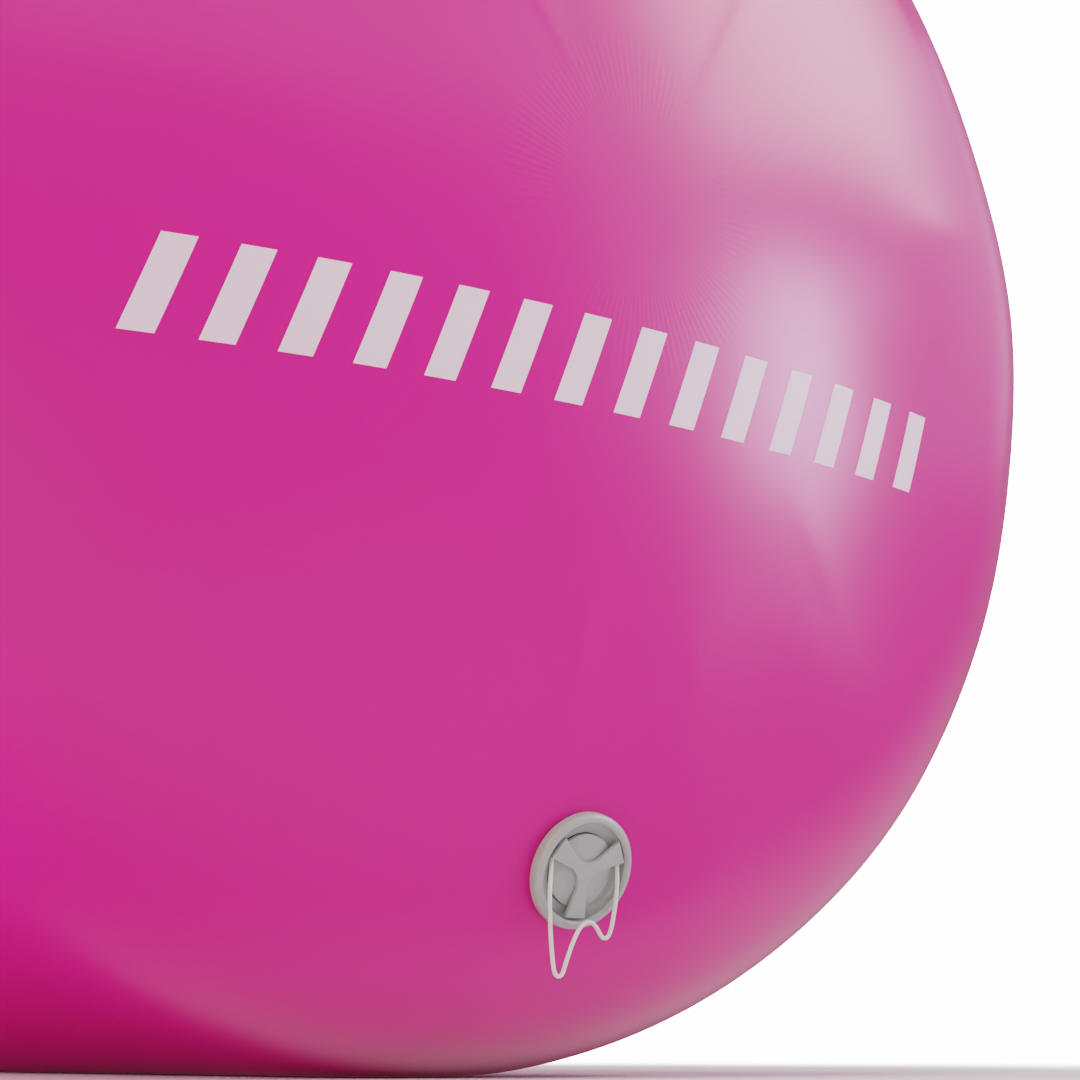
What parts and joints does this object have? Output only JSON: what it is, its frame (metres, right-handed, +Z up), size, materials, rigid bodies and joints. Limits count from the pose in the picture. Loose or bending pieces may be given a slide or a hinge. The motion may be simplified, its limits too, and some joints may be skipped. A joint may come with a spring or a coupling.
{
  "type": "inflatable air barrel",
  "caption": "Inflatable air barrel lying on its side: a coated-fabric tube with domed ends, a screw-cap air valve with a cord loop, and webbing side handles.",
  "frame": {"origin": "on the floor under the middle of the barrel", "axes": "+Z up; +Y along the barrel's axis, away from the valve; +X to the right when facing the valve end"},
  "size_m": [0.9588, 1.2, 0.897],
  "materials": {
    "pink_skin": "glossy pink PVC-coated fabric",
    "pink_tape": "glossy pink PVC tape",
    "valve_plastic": "satin grey moulded plastic",
    "seal_rubber": "black rubber",
    "spring_steel": "stainless spring wire",
    "cord_white": "smooth off-white cord",
    "webbing": "black woven webbing"
  },
  "bodies": {
    "barrel": {"side_wall": "pink_skin", "front_end_panel": "pink_skin", "rear_end_panel": "pink_skin", "front_rim_tape": "pink_tape", "rear_rim_tape": "pink_tape", "wall_seam_tape_outer": "pink_tape", "wall_seam_tape_inner": "pink_tape", "valve_patch": "pink_tape", "valve_housing": "valve_plastic", "flange_gasket": "seal_rubber", "clamp_nut": "valve_plastic", "stem_guide": "valve_plastic", "valve_spring": "spring_steel", "left_handle_base_patch": "pink_tape", "left_handle_strap": "webbing", "left_handle_front_cover": "pink_tape", "left_handle_rear_cover": "pink_tape", "right_handle_base_patch": "pink_tape", "right_handle_strap": "webbing", "right_handle_front_cover": "pink_tape", "right_handle_rear_cover": "pink_tape"},
    "cap_seal": {"cap_seal_ring": "seal_rubber"},
    "cap": {"cap_plug": "valve_plastic", "cap_grip": "valve_plastic", "cap_cord": "cord_white"},
    "plunger": {"plunger_stem": "valve_plastic", "poppet_seal": "seal_rubber", "poppet_disc": "valve_plastic", "stem_clip": "valve_plastic"}
  },
  "joints": [
    {"name": "cap_pull", "type": "slide", "parent": "barrel", "child": "cap_seal", "axis": [0, -0.9336, -0.3584], "range_m": [0, 0.12]},
    {"name": "cap_turn", "type": "hinge", "parent": "cap_seal", "child": "cap", "pos_m": [0, -0.54655, 0.10444], "axis": [0, -0.9336, -0.3584], "range_deg": [0, 270]},
    {"name": "plunger_push", "type": "slide", "parent": "barrel", "child": "plunger", "axis": [0, 0.9336, 0.3584], "range_m": [0, 0.004], "stiffness_N_per_m": 400, "springref_m": -0.004, "deforming": ["valve_spring"]}
  ]
}
